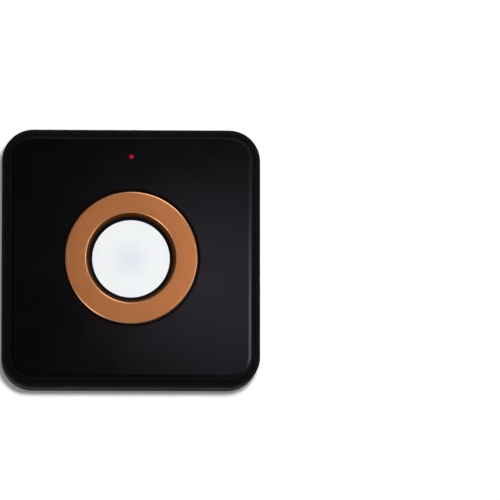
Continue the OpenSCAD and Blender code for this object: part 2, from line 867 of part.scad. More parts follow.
module case_gasket() {
    color("#3b3b40")
    along_rim()
    translate([plate_reach - gasket_groove + fine_gap + gasket_cord / 2, z_under + base_t / 2])
    circle(d = gasket_cord);
}

module case_screws() {
    color("#b9bcc0")
    for (c = corners)
        translate([c[0] * boss_at, c[1] * boss_at, head_seat])
            screw(case_screw_d, case_screw_l, case_head_d, case_head_h);
}

// Four feet, each a disc with a chamfered tread
module rubber_feet() {
    tread_chamfer = foot_stand / 2;
    color("#2c2c2f")
    for (c = corners)
        translate([c[0] * boss_at, c[1] * boss_at, 0])
        rotate_extrude()
        polygon([
            [0, 0], [foot_d / 2 - tread_chamfer, 0], [foot_d / 2, tread_chamfer], [foot_d / 2, foot_h], [0, foot_h]
        ]);
}

// Brass bush with a straight knurl round it and a plain collar at its mouth
module tripod_insert() {
    steps = 2 * knurl_teeth;
    outer = insert_d / 2;
    color("#c9a24a")
    translate([0, insert_y, 0])
    difference() {
        union() {
            translate([0, 0, insert_low]) linear_extrude(insert_l)
                polygon([for (i = [0:steps - 1])
                    (outer - (i % 2) * knurl_deep) * [cos(360 * i / steps), sin(360 * i / steps)]]);
            translate([0, 0, insert_low]) cylinder(r = outer, h = insert_collar_h);
        }
        translate([0, 0, insert_low - over]) cylinder(d = insert_bore, h = insert_l + 2 * over);
    }
}

top_cover();
accent_ring();
diffuser();
diffuser_seal();
sensor_holder();
holder_screws();
optical_filter();
photodiode();
circuit_board();
board_screws();
radio_module();
radio_shield();
microcontroller();
amplifier();
crystal();
chip_components();
indicator_led();
light_pipe();
tact_switch();
switch_plunger();
power_button();
button_seal();
coin_cell();
battery_contact_plus();
battery_contact_minus();
battery_door();
door_seal();
base_plate();
case_gasket();
case_screws();
rubber_feet();
tripod_insert();
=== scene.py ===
# %% [markdown]
# A square sunlight meter, dressed for a picture
#
# The meter is a matt black puck, 70 mm square. A copper-coloured metal ring sits in its face, and a
# white disc that gathers the light lies a few millimetres down inside the ring. The solids come from
# the CAD model. This file gives them their finish, adds a few finer pieces, and sets up the floor,
# the lamps and the camera. Everything is in metres, in the CAD model's own frame: the origin is under
# the middle of the meter, Z points up out of its face, and Y points to the side that holds the power
# button.

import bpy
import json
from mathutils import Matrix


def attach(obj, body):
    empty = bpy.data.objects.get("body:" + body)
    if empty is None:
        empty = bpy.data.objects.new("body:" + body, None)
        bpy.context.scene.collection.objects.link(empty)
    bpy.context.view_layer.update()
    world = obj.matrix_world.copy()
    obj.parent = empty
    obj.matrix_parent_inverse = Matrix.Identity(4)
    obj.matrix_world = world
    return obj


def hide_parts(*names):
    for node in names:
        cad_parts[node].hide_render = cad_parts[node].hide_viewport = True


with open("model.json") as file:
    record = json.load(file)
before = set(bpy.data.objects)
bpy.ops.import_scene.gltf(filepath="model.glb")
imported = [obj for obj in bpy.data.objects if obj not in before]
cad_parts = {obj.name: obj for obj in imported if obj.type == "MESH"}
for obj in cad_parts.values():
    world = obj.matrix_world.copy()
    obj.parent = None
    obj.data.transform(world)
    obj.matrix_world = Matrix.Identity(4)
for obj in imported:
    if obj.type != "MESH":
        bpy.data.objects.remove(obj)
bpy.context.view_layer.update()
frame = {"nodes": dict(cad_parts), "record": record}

import json
import math
import bmesh
import bpy
import numpy as np
from mathutils import Matrix

MM = 0.001
nodes_of_cad = frame["nodes"]

# %% [markdown]
# Where the camera stands
#
# The photograph looks almost straight down on the face, through a long lens. Two small tilts matter:
# they decide how far the ring hides one side of the recess. The camera could be aimed by hand, but
# tilts, a distance and one known point give the same picture each time. So the middle of the ring is
# put where the photograph has it, and the lens follows from the wanted scale at that distance.

# %% Camera
RING_TOP = 19.25
photo_side = 500
ring_centre = np.array([0.0, 0.0, RING_TOP]) * MM
ring_centre_px = np.array([131.35, 257.53])
pixels_per_metre = 3703.0
camera_distance = 1.5
tilt_back, tilt_side = math.radians(5.0), math.radians(2.6)

camera_data = bpy.data.cameras.new("studio_camera")
camera = bpy.data.objects.new("studio_camera", camera_data)
bpy.context.scene.collection.objects.link(camera)
camera.rotation_euler = (tilt_back, -tilt_side, 0.0)
axes = np.array(camera.rotation_euler.to_matrix())
right, up, back = axes[:, 0], axes[:, 1], axes[:, 2]
to_middle = (np.array([photo_side / 2, photo_side / 2]) - ring_centre_px) / pixels_per_metre
camera.location = ring_centre + right * to_middle[0] - up * to_middle[1] + back * camera_distance
camera_data.sensor_width = 36
camera_data.lens = pixels_per_metre * camera_distance * camera_data.sensor_width / photo_side
camera_data.clip_start, camera_data.clip_end = 0.05, 8.0
bpy.context.scene.camera = camera
bpy.context.scene.view_settings.view_transform = "Standard"
print("lens %.1f mm at %.2f m" % (camera_data.lens, camera_distance))

# %% [markdown]
# Effects that several finishes share
#
# Fine moulded grain, tool marks and settled dust show on many of the parts. Each could be drawn again
# in every material, but a node group is built once and takes its own numbers in each. The groups put
# out heights, masks and distances only, and the shader itself stays in the material.

# %% Helpers for sockets and node groups
def feed(tree, socket, value):
    """Gives a socket a plain number, a colour or vector as a triple, or another socket to follow."""
    if isinstance(value, bpy.types.NodeSocket):
        tree.links.new(value, socket)
    elif socket.type == "RGBA":
        socket.default_value = (*value, 1)
    else:
        socket.default_value = value


def new_group(name, inputs, outputs):
    """Empty node group. Its inputs are given as (name, kind, start value), its outputs by name."""
    group = bpy.data.node_groups.new(name, "ShaderNodeTree")
    for title, kind, start in inputs:
        socket = group.interface.new_socket(title, in_out="INPUT", socket_type="NodeSocket" + kind)
        socket.default_value = start
    for title in outputs:
        group.interface.new_socket(title, in_out="OUTPUT", socket_type="NodeSocketFloat")
    print("group", name)
    return group, group.nodes.new("NodeGroupInput"), group.nodes.new("NodeGroupOutput")

# %% Helpers for maths, vectors and noise
def maths(tree, operation, *values, clamp=False):
    """One maths node; each value is a socket or a plain number."""
    node = tree.nodes.new("ShaderNodeMath")
    node.operation, node.use_clamp = operation, clamp
    for socket, value in zip(node.inputs, values):
        feed(tree, socket, value)
    return node.outputs[0]


def vector_maths(tree, operation, *values):
    """One vector maths node; each value is a socket or a triple."""
    node = tree.nodes.new("ShaderNodeVectorMath")
    node.operation = operation
    for socket, value in zip(node.inputs, values):
        feed(tree, socket, value)
    return node.outputs


def upright_part(tree, vector):
    """The Z part of a vector."""
    node = tree.nodes.new("ShaderNodeSeparateXYZ")
    tree.links.new(vector, node.inputs[0])
    return node.outputs["Z"]


def facing_up(tree):
    """The Z part of the surface's normal: 1 on a level face, 0 on an upright wall."""
    return upright_part(tree, tree.nodes.new("ShaderNodeNewGeometry").outputs["Normal"])


def noise(tree, vector, scale, detail=2.0, roughness=0.5):
    """Noise from 0 to 1 at so many features per metre."""
    node = tree.nodes.new("ShaderNodeTexNoise")
    for title, value in (
            ("Vector", vector), ("Scale", scale), ("Detail", detail), ("Roughness", roughness)):
        feed(tree, node.inputs[title], value)
    return node.outputs[0]

# %% [markdown]
# Moulded grain is two noises of different sizes. The fine one is the spark-eroded texture of the
# mould, and the coarse one is the slow change in gloss that every moulding has. An image of grain
# would show its edges and its repeats, and noise has neither.

# %% Group for moulded grain
grain_group, grain_in, grain_out = new_group(
    "moulded_grain",
    [("Vector", "Vector", (0, 0, 0)), ("Fine", "Float", 3000.0), ("Coarse", "Float", 120.0)],
    ["Height", "Patch"])
fine_grain = noise(grain_group, grain_in.outputs["Vector"], grain_in.outputs["Fine"], 3.0, 0.6)
patches = noise(grain_group, grain_in.outputs["Vector"], grain_in.outputs["Coarse"])
grain_group.links.new(fine_grain, grain_out.inputs["Height"])
grain_group.links.new(patches, grain_out.inputs["Patch"])

# %% [markdown]
# Turned marks are the fine rings that a lathe leaves about its axis. They could be cut into the mesh,
# but they are far too fine. The height here is a sine wave of the distance from that axis, and a
# little noise makes no two rings the same. The group gives the distance too, for round masks.

# %% Group for turned marks
turned_group, turned_in, turned_out = new_group(
    "turned_marks",
    [("Vector", "Vector", (0, 0, 0)), ("Centre", "Vector", (0, 0, 0)), ("Rings", "Float", 8000.0)],
    ["Height", "Radius"])
from_centre = vector_maths(
    turned_group, "SUBTRACT", turned_in.outputs["Vector"], turned_in.outputs["Centre"])[0]
level_part = vector_maths(turned_group, "MULTIPLY", from_centre, (1, 1, 0))[0]
radius = vector_maths(turned_group, "LENGTH", level_part)["Value"]
uneven = maths(turned_group, "MULTIPLY", noise(turned_group, from_centre, 900.0), 3.0)
evenly = maths(turned_group, "MULTIPLY", radius, turned_in.outputs["Rings"])
wave = maths(turned_group, "SINE", maths(turned_group, "ADD", evenly, uneven))
turned_group.links.new(maths(turned_group, "MULTIPLY_ADD", wave, 0.5, 0.5), turned_out.inputs["Height"])
turned_group.links.new(radius, turned_out.inputs["Radius"])

# %% [markdown]
# Dust is a few pale specks and a thin veil, and it gathers on faces that look up. It could be strewn
# as tiny pieces, but a mask costs nothing: noise cut off high for the specks, weak noise for the
# veil, both times the upward part of the normal.

# %% Group for settled dust
dust_group, dust_in, dust_out = new_group(
    "settled_dust",
    [("Vector", "Vector", (0, 0, 0)), ("Specks", "Float", 2500.0), ("Amount", "Float", 0.3)], ["Mask"])
speck_noise = noise(dust_group, dust_in.outputs["Vector"], dust_in.outputs["Specks"], 0.0)
above_cut = maths(dust_group, "SUBTRACT", speck_noise, 0.77)
specks = maths(dust_group, "MULTIPLY", above_cut, 12.0, clamp=True)
veil = maths(dust_group, "MULTIPLY", noise(dust_group, dust_in.outputs["Vector"], 70.0, 3.0), 0.12)
level_faces = maths(dust_group, "MAXIMUM", facing_up(dust_group), 0.0)
settled = maths(dust_group, "MULTIPLY", maths(dust_group, "ADD", specks, veil), level_faces)
mask = maths(dust_group, "MULTIPLY", settled, dust_in.outputs["Amount"], clamp=True)
dust_group.links.new(mask, dust_out.inputs["Mask"])

# %% [markdown]
# One recipe for the finishes
#
# Every finish starts from the same few steps: object coordinates, a group or two for the detail, a
# blend between two close colours, a range of roughness, and a bump that is microns deep. What is the
# same all over a surface is typed on the shader, and only what changes over it is wired in, because
# a model that leaves Blender keeps it only so.

# %% Start a material
finishes = {}


def new_finish(name, **constants):
    """Starts a material, notes it under its name and sets its shader's plain values. Returns its
    tree, its shader and the place on the object."""
    material = bpy.data.materials.new(name)
    material.use_nodes = True
    finishes[name] = material
    tree = material.node_tree
    shader = tree.nodes["Principled BSDF"]
    for title, value in constants.items():
        shader.inputs[title.replace("_", " ")].default_value = value
    print("finish", name)
    return tree, shader, tree.nodes.new("ShaderNodeTexCoord").outputs["Object"]


def wire(tree, shader, **changing):
    """Links to the shader what changes over the surface, such as Base_Color or Roughness."""
    for title, source in changing.items():
        tree.links.new(source, shader.inputs[title.replace("_", " ")])


def wired(shader, title):
    """What already feeds one of the shader's sockets."""
    return shader.inputs[title].links[0].from_socket


def use_group(tree, group, place, **values):
    """Places a shared group in a material with its own numbers."""
    node = tree.nodes.new("ShaderNodeGroup")
    node.node_tree = group
    tree.links.new(place, node.inputs["Vector"])
    for title, value in values.items():
        node.inputs[title].default_value = value
    return node.outputs

# %% Helpers for blends and ranges
def blended(tree, mask, first, second):
    """A colour between two, by a mask from 0 to 1; each colour is a triple or a socket."""
    node = tree.nodes.new("ShaderNodeMix")
    node.data_type = "RGBA"
    for number, value in ((0, mask), (6, first), (7, second)):
        feed(tree, node.inputs[number], value)
    return node.outputs[2]


def numbers_blended(tree, mask, first, second):
    """A number between two, by a mask from 0 to 1; each is a plain number or a socket."""
    node = tree.nodes.new("ShaderNodeMix")
    for number, value in ((0, mask), (2, first), (3, second)):
        feed(tree, node.inputs[number], value)
    return node.outputs[0]


def ranged(tree, value, low, high, start=0.3, end=0.7):
    """Maps a value that runs from start to end onto the range from low to high."""
    node = tree.nodes.new("ShaderNodeMapRange")
    for number, source in enumerate((value, start, end, low, high)):
        feed(tree, node.inputs[number], source)
    return node.outputs[0]


def rises(tree, value, start, end):
    """A mask that climbs from 0 to 1 while the value goes from start to end."""
    return ranged(tree, value, 0.0, 1.0, start, end)


def falls(tree, value, start, end):
    """A mask that drops from 1 to 0 while the value goes from start to end."""
    return ranged(tree, value, 1.0, 0.0, start, end)


def bumped(tree, shader, height, depth):
    """Bends the normal by a height, as deep as given in metres."""
    node = tree.nodes.new("ShaderNodeBump")
    node.inputs["Distance"].default_value = depth
    tree.links.new(height, node.inputs["Height"])
    wire(tree, shader, Normal=node.outputs[0])

# %% [markdown]
# Two families of finish
#
# Most parts of the meter are either moulded, in plastic or rubber, or plain metal. Each could have a
# material written out in full. Two functions that hold what a family has in common keep the parts
# alike, and leave each its own colours, gloss and grain.

# %% Moulded parts and metal parts
DUST_COLOUR = (0.2, 0.2, 0.2)


def moulded(name, dark, light, rough, fine=3000.0, deep=12e-6, dust=0.25, **constants):
    """Moulded plastic or rubber: grain, uneven gloss and a trace of dust."""
    tree, shader, place = new_finish(name, **constants)
    grain = use_group(tree, grain_group, place, Fine=fine, Coarse=130.0)
    dusty = use_group(tree, dust_group, place, Amount=dust)["Mask"]
    clean = blended(tree, grain["Patch"], dark, light)
    wire(tree, shader, Base_Color=blended(tree, dusty, clean, DUST_COLOUR),
         Roughness=ranged(tree, grain["Patch"], *rough))
    bumped(tree, shader, grain["Height"], deep)
    return tree, shader, place


def metal(name, dark, light, rough, fine=2500.0, marks=None):
    """Metal with blasted grain, or with turned marks about a centre."""
    tree, shader, place = new_finish(name, Metallic=1.0)
    grain = use_group(tree, grain_group, place, Fine=fine, Coarse=260.0)
    wire(tree, shader, Base_Color=blended(tree, grain["Patch"], dark, light),
         Roughness=ranged(tree, grain["Patch"], *rough))
    height = grain["Height"]
    if marks is not None:
        height = use_group(tree, turned_group, place, Centre=marks, Rings=9000.0)["Height"]
    bumped(tree, shader, height, 2e-6)

# %% [markdown]
# The black case
#
# The cover, base, door and button are moulded in a soft matt black, very slightly violet. The grain is
# spark-eroded, with grains of about 0.3 mm. One flat black would look like a hole in the picture.
# Most of what the face shows is a weak mirror image of the lamps, so its own colour is close to
# nothing, and its gloss decides how bright it looks. The sides are etched coarser and lose their gloss.

# %% Gloss that goes on the sides
LEVEL_FROM, LEANS_FROM = 0.985, 0.93
SIDE_ROUGHNESS = 1.0


def coarser_sides(tree, shader):
    """Where the normal leans away from upright, the roughness goes up to that of the sides."""
    side = falls(tree, facing_up(tree), LEANS_FROM, LEVEL_FROM)
    wire(tree, shader,
         Roughness=numbers_blended(tree, side, wired(shader, "Roughness"), SIDE_ROUGHNESS))

# %% [markdown]
# The line round the ring
#
# A narrow gap parts the ring from the case, and in the photograph it reads as a line of dark brown,
# the ring's side in shade. The gap is there in the solids. A dull dark brown band painted on its
# edge, as painted shade, makes the line as wide as it is in the photograph. It could be a thin piece of
# its own, but a mask by the distance from the ring's axis and by the height adds no edge to the shape.

# %% Painted shade line
LINE_INNER, LINE_OUTER = 17.8 * MM, 18.7 * MM
LINE_LOW, LINE_HIGH = 18.0 * MM, 18.2 * MM


def painted_gap_shade(tree, shader, place):
    """Painted shade of the gap: a dull dark brown band about the ring's axis, on the face and on the
    upper walls of the gap.
    """
    radius = use_group(tree, turned_group, place)["Radius"]
    band = maths(tree, "MULTIPLY", rises(tree, radius, LINE_INNER, LINE_INNER + 0.05 * MM),
                 falls(tree, radius, LINE_OUTER - 0.1 * MM, LINE_OUTER + 0.1 * MM))
    band = maths(tree, "MULTIPLY", band, rises(tree, upright_part(tree, place), LINE_LOW, LINE_HIGH))
    # Painted shade colour: the dark brown of the ring's side in the gap's shade, matt.
    wire(tree, shader, Metallic=band,
         Base_Color=blended(tree, band, wired(shader, "Base Color"), (0.0180, 0.0050, 0.0008)),
         Roughness=numbers_blended(tree, band, wired(shader, "Roughness"), 1.0))

# %% Case, base, door, button and the cup inside
tree, shader, place = moulded(
    "case_plastic", (0.0003, 0.0003, 0.0004), (0.0006, 0.0006, 0.0008), (0.27, 0.32), dust=0.015,
    Specular_IOR_Level=0.14, Specular_Tint=(0.90, 0.83, 1.0, 1.0))
coarser_sides(tree, shader)
# Painted shade in the gap round the ring.
painted_gap_shade(tree, shader, place)
moulded("button_plastic", (0.0022, 0.0021, 0.0026), (0.0034, 0.0032, 0.0040), (0.34, 0.42),
        fine=4200.0, dust=0.03, Specular_IOR_Level=0.2)
moulded("inner_plastic", (0.006, 0.006, 0.007), (0.009, 0.009, 0.010), (0.55, 0.7),
        fine=2000.0, dust=0.1)

# %% [markdown]
# The copper-coloured ring
#
# The ring is aluminium: turned, blasted with fine beads and anodised. The blasting gives a broad soft
# gloss. The cut chamfers are smoother, so they catch the lamps as thin bright lines. The cone that
# leads down to the disc is painted dull dark brown with no metal gloss, darker towards the bottom:
# painted shade of the recess. The regions could be painted or given materials of their own. Masks by
# how far the normal leans find them with no texture drawn: a little on the chamfers, far on the cone,
# and not at all on the flat.

# %% Ring metal
CONE_LOW, CONE_HIGH = 16.6 * MM, 19.0 * MM

tree, shader, place = new_finish("ring_metal", Specular_IOR_Level=0.0)
grain = use_group(tree, grain_group, place, Fine=6500.0, Coarse=150.0)
upward = facing_up(tree)
cut = falls(tree, upward, LEANS_FROM, LEVEL_FROM)
cone = maths(tree, "MULTIPLY", rises(tree, upward, 0.1, 0.2), falls(tree, upward, 0.45, 0.6))
blasted = blended(tree, grain["Patch"], (0.385, 0.147, 0.053), (0.430, 0.168, 0.062))
edged = blended(tree, cut, blasted, (0.78, 0.46, 0.27))
# Painted shade on the cone: dark brown, darker towards the bottom of the recess.
up_the_cone = rises(tree, upright_part(tree, place), CONE_LOW, CONE_HIGH)
painted_cone_shade = blended(tree, up_the_cone, (0.050, 0.018, 0.005), (0.19, 0.050, 0.007))
wire(tree, shader, Base_Color=blended(tree, cone, edged, painted_cone_shade),
     Roughness=numbers_blended(tree, cut, ranged(tree, grain["Height"], 0.58, 0.70), 0.3),
     Metallic=falls(tree, cone, 0.0, 1.0))
bumped(tree, shader, grain["Height"], 6e-6)

# %% [markdown]
# The white diffuser
#
# The disc is opal plastic that scatters what falls on it. The dark hole under it makes its middle
# look a touch colder. That could come from a lit model of the cup below, but a painted shade, blended
# over the distance from the axis from faint lavender to plain white, does the same. A little
# scattering under the surface softens its edge.

# %% Diffuser plastic
PAINTED_SHADE_R, WHITE_R = 1.5 * MM, 6.2 * MM

tree, shader, place = new_finish("diffuser_plastic", Subsurface_Weight=0.15, Subsurface_Scale=0.001)
grain = use_group(tree, grain_group, place, Fine=9000.0, Coarse=200.0)
from_axis = use_group(tree, turned_group, place, Rings=12000.0)["Radius"]
white = blended(tree, grain["Patch"], (0.835, 0.860, 0.875), (0.865, 0.885, 0.898))
# Painted shade: faint lavender in the middle, where the dark hole below shows through.
wire(tree, shader,
     Base_Color=blended(tree, rises(tree, from_axis, PAINTED_SHADE_R, WHITE_R), (0.755, 0.785, 0.850), white),
     Roughness=ranged(tree, grain["Height"], 0.42, 0.52))
bumped(tree, shader, grain["Height"], 2e-6)

# %% [markdown]
# The red light
#
# The light pipe is a clear rod lit from below by a small red lamp, and only its round tip of 1.2 mm
# shows in the face. A clear rod over a lamp would have to be traced with many samples. A deep red
# that glows by itself, brighter in the middle than at the edge, looks the same at this size.

# %% Light pipe
LIGHT_Y, TIP_MIDDLE_R, TIP_EDGE_R = 27.4 * MM, 0.3 * MM, 0.8 * MM

tree, shader, place = new_finish("light_pipe_plastic", Emission_Strength=1.0, Specular_IOR_Level=0.3)
rings = use_group(tree, turned_group, place, Centre=(0, LIGHT_Y, 0), Rings=9000.0)
edge = rises(tree, rings["Radius"], TIP_MIDDLE_R, TIP_EDGE_R)
wire(tree, shader,
     Base_Color=blended(tree, edge, (0.20, 0.005, 0.015), (0.12, 0.004, 0.010)),
     Emission_Color=blended(tree, edge, (0.20, 0.004, 0.015), (0.10, 0.002, 0.007)),
     Roughness=ranged(tree, rings["Height"], 0.15, 0.25, 0.0, 1.0))

# %% The lamp under it
LENS_LOW, LENS_HIGH = 9.10 * MM, 9.12 * MM

tree, shader, place = new_finish("lamp_lens", Emission_Strength=1.0)
lens = rises(tree, upright_part(tree, place), LENS_LOW, LENS_HIGH)
grain = use_group(tree, grain_group, place, Fine=6000.0, Coarse=900.0)
carrier = blended(tree, grain["Patch"], (0.70, 0.68, 0.62), (0.78, 0.76, 0.70))
wire(tree, shader,
     Base_Color=blended(tree, lens, carrier, (0.55, 0.02, 0.04)),
     Emission_Color=blended(tree, lens, (0.0, 0.0, 0.0), (0.5, 0.02, 0.04)),
     Roughness=ranged(tree, grain["Height"], 0.2, 0.45))

# %% [markdown]
# Everything behind the face
#
# The seals, board, chips, screws, cell and contacts are seldom seen. They could all be grey, but the
# model can be opened, so each gets its own finish. The metals get blasted or turned marks, the board
# its green mask over a weave of glass, and the rubbers a dull grain.

# %% Rubbers and the plunger's plastic
moulded("seal_rubber", (0.018, 0.018, 0.020), (0.026, 0.026, 0.028), (0.6, 0.75), fine=1800.0)
moulded("foot_rubber", (0.010, 0.010, 0.011), (0.017, 0.017, 0.018), (0.62, 0.78),
        fine=2400.0, deep=30e-6, dust=0.5, Specular_IOR_Level=0.35)
moulded("plunger_plastic", (0.58, 0.55, 0.44), (0.66, 0.63, 0.52), (0.25, 0.35),
        fine=1500.0, deep=3e-6, dust=0.0)

# %% Metals
CELL_CENTRE = (0, -18.6 * MM, 0)

metal("screw_steel", (0.46, 0.47, 0.49), (0.60, 0.61, 0.63), (0.25, 0.42))
metal("tin_plate", (0.52, 0.53, 0.54), (0.66, 0.67, 0.67), (0.28, 0.45), fine=900.0)
metal("cell_steel", (0.55, 0.56, 0.57), (0.68, 0.69, 0.70), (0.2, 0.34), marks=CELL_CENTRE)
metal("contact_brass", (0.60, 0.40, 0.12), (0.74, 0.52, 0.18), (0.22, 0.36), fine=1600.0)
metal("insert_brass", (0.50, 0.33, 0.09), (0.66, 0.46, 0.15), (0.24, 0.4), marks=(0, 0, 0))

# %% Circuit board
tree, shader, place = new_finish("board_laminate", Coat_Weight=0.4, Coat_Roughness=0.2)
weave = tree.nodes.new("ShaderNodeTexBrick")
for title, value in (("Vector", place), ("Scale", 1600.0), ("Color1", (0.010, 0.085, 0.040)),
                     ("Color2", (0.013, 0.105, 0.050)), ("Mortar", (0.006, 0.060, 0.030))):
    feed(tree, weave.inputs[title], value)
grain = use_group(tree, grain_group, place, Fine=2500.0, Coarse=300.0)
wire(tree, shader,
     Base_Color=blended(tree, grain["Patch"], weave.outputs["Color"], (0.016, 0.12, 0.058)),
     Roughness=ranged(tree, grain["Patch"], 0.3, 0.45))
bumped(tree, shader, weave.outputs["Fac"], 4e-6)

# %% Chips, ceramics and glass
moulded("chip_plastic", (0.012, 0.012, 0.013), (0.018, 0.018, 0.019), (0.45, 0.6),
        fine=7000.0, deep=5e-6, dust=0.1)
moulded("ceramic_body", (0.52, 0.44, 0.32), (0.64, 0.58, 0.46), (0.5, 0.65),
        fine=5000.0, deep=3e-6, dust=0.0)

tree, shader, place = new_finish("filter_glass", Metallic=0.0, Transmission_Weight=0.85, IOR=1.51)
grain = use_group(tree, grain_group, place, Fine=1200.0, Coarse=200.0)
wire(tree, shader, Base_Color=blended(tree, grain["Patch"], (0.36, 0.52, 0.57), (0.40, 0.56, 0.60)),
     Roughness=ranged(tree, grain["Height"], 0.03, 0.08))

# %% [markdown]
# Finishes onto the CAD nodes
#
# The CAD model's record names a finish for each node. The materials could be dragged on by hand, one
# node at a time. Reading the record does it for all of them and can't miss one.

# %% Give every CAD node its finish
parts_of_record = frame["record"]["subparts"]
for part in parts_of_record:
    for slot in nodes_of_cad[part["node"]].material_slots:
        slot.material = finishes[part["material_slot"]]
print(len(parts_of_record), "nodes have their finish")

# %% [markdown]
# Surfaces from formulas
#
# The pieces that need softer edges than the CAD solids are surfaces of revolution and swept shapes.
# They could be drawn by hand with the spin and bevel tools. A formula on a grid is exact, quick and
# easy to change, so one helper turns a grid of points into a mesh, and the others fill the grid.

# %% A mesh from a grid of points
def surface(name, grids, smooth_under=35):
    """Mesh of one or more grids of points, each of the shape (rows, columns, 3). Every face joins
    four neighbours. Rows that meet, columns that meet and poles are merged, and faces turn outwards.
    Edges that bend less than the given number of degrees are shaded smooth."""
    corners, faces, start = [], [], 0
    for grid in grids:
        rows, columns = grid.shape[:2]
        index = start + np.arange(rows * columns).reshape(rows, columns)
        round_a_face = index[:-1, :-1], index[:-1, 1:], index[1:, 1:], index[1:, :-1]
        faces.append(np.stack(round_a_face, -1).reshape(-1, 4))
        corners.append(grid.reshape(-1, 3))
        start += rows * columns
    mesh = bpy.data.meshes.new(name)
    mesh.from_pydata(np.concatenate(corners).tolist(), [], np.concatenate(faces).tolist())
    work = bmesh.new()
    work.from_mesh(mesh)
    bmesh.ops.remove_doubles(work, verts=work.verts, dist=1e-7)
    bmesh.ops.recalc_face_normals(work, faces=work.faces)
    work.to_mesh(mesh)
    work.free()
    mesh.shade_smooth()
    mesh.set_sharp_from_angle(angle=math.radians(smooth_under))
    piece = bpy.data.objects.new(name, mesh)
    bpy.context.scene.collection.objects.link(piece)
    return piece

# %% Soft corners and a full turn
def softened(corners, reach, steps=7):
    """Rounds the corners of a closed outline. Near corner C the outline follows the curve
    (1-t)^2 A + 2t(1-t) C + t^2 B, where A and B lie at the reach from C along its two sides."""
    corners = np.asarray(corners, float)
    reach = np.broadcast_to(reach, len(corners))[:, None]
    before, after = np.roll(corners, 1, 0) - corners, np.roll(corners, -1, 0) - corners
    a = corners + reach * before / np.linalg.norm(before, axis=1, keepdims=True)
    b = corners + reach * after / np.linalg.norm(after, axis=1, keepdims=True)
    a, b, c = a[:, None], b[:, None], corners[:, None]
    t = np.linspace(0, 1, steps)[None, :, None]
    return ((1 - t) ** 2 * a + 2 * t * (1 - t) * c + t ** 2 * b).reshape(-1, 2)


def spun(outline, centre=(0, 0), segments=256):
    """Carries an outline round an upright axis: the point (r, z) at angle t goes to
    (cx + r cos t, cy + r sin t, z). The outline closes on itself, and so does the turn."""
    outline = np.vstack([outline, outline[:1]])
    t = np.linspace(0, 2 * np.pi, segments + 1)
    r, z = outline[:, 0, None], outline[:, 1, None]
    return np.stack([centre[0] + r * np.cos(t), centre[1] + r * np.sin(t), z + 0 * t], axis=-1)

# %% Put a piece in its place in the model
def finish_piece(piece, body, slot, *replaced):
    """Gives a piece its finish, puts it on its body, and hides the CAD nodes that it stands for."""
    piece.data.materials.append(finishes[slot])
    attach(piece, body)
    if replaced:
        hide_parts(*replaced)
    print(piece.name, len(piece.data.polygons), "faces")

# %% [markdown]
# The ring as a turned piece
#
# The CAD ring has sharp chamfers. Real edges are broken by about a tenth of a millimetre, and that is
# what draws the bright lines in the photograph. A bevel on the CAD ring's mesh would stumble over its
# long thin faces, so the same outline, softened at each corner, is spun round the axis instead.

# %% Ring
RING_R, SKIRT_R, MOUTH_R, THROAT_R = 17.9, 14.0, 12.15, 11.35
FLANGE_UNDER, SKIRT_UNDER, CHAMFER = 17.65, 16.35, 0.25

ring_outline = np.array([
    [MOUTH_R + CHAMFER, RING_TOP], [RING_R - CHAMFER, RING_TOP], [RING_R, RING_TOP - CHAMFER],
    [RING_R, FLANGE_UNDER], [SKIRT_R, FLANGE_UNDER], [SKIRT_R, SKIRT_UNDER],
    [THROAT_R, SKIRT_UNDER], [MOUTH_R, RING_TOP - CHAMFER]]) * MM
ring_reach = np.array([0.08, 0.12, 0.12, 0.05, 0.05, 0.05, 0.05, 0.10]) * MM
ring_piece = surface("accent_ring_turned", [spun(softened(ring_outline, ring_reach), segments=360)])
finish_piece(ring_piece, "case", "ring_metal", "accent_ring")

# %% [markdown]
# The diffuser and the feet
#
# The disc has the soft edge of a turned and polished plastic part. The feet are moulded rubber, with
# a round edge and two shallow grooves in the tread that help it grip. The grooves could be a bump, but
# they show against the light, so they are in the outline. The tread itself stays at z = 0.

# %% Diffuser
DISC_R, DISC_FOOT_R = 11.65, 11.35
DISC_UNDER, DISC_EDGE, DISC_TOP = 12.95, 13.25, 15.05

disc_outline = np.array([
    [0, DISC_UNDER], [DISC_FOOT_R, DISC_UNDER], [DISC_R, DISC_EDGE],
    [DISC_R, DISC_TOP], [0, DISC_TOP]]) * MM
disc_reach = np.array([0, 0.1, 0.1, 0.15, 0]) * MM
disc_piece = surface("diffuser_disc", [spun(softened(disc_outline, disc_reach))])
finish_piece(disc_piece, "case", "diffuser_plastic", "diffuser")

# %% Feet
FOOT_AT, FOOT_R, TREAD_R, FOOT_TALL, FOOT_EDGE, GROOVE = 27.4, 4.5, 4.1, 1.5, 0.4, 0.2

inner_groove = [[1.25, 0], [1.45, GROOVE], [1.75, GROOVE], [1.95, 0]]
outer_groove = [[2.75, 0], [2.95, GROOVE], [3.25, GROOVE], [3.45, 0]]
foot_outline = np.array([
    [0, 0], *inner_groove, *outer_groove,
    [TREAD_R, 0], [FOOT_R, FOOT_EDGE], [FOOT_R, FOOT_TALL], [0, FOOT_TALL]]) * MM
foot_reach = np.array([0] + [0.06] * 8 + [0.25, 0.25, 0.05, 0]) * MM
foot_round = softened(foot_outline, foot_reach, steps=5)
foot_piece = surface("grip_feet", [
    spun(foot_round, (x * FOOT_AT * MM, y * FOOT_AT * MM), segments=96)
    for x in (1, -1) for y in (1, -1)])
finish_piece(foot_piece, "case", "foot_rubber", "rubber_feet")

# %% [markdown]
# The tripod thread
#
# A camera screw has twenty turns to the inch, so the thread climbs 1.27 mm a turn. The screw modifier
# could make it, but its ends would be cut off square. Here the ridge between the grooves is a
# flat-topped wedge, carried along a helix inside the insert. It grows out of the wall at both ends,
# as on a cut thread, and each end closes in one point.

# %% Thread
PITCH, BORE_R, CREST_R = 1.27, 3.15, 2.68
INSERT_MOUTH, BORE_LONG, END_ROOM = 0.9, 5.2, 0.45
LEAST_RIDGE, GROWTH = 0.02, 4

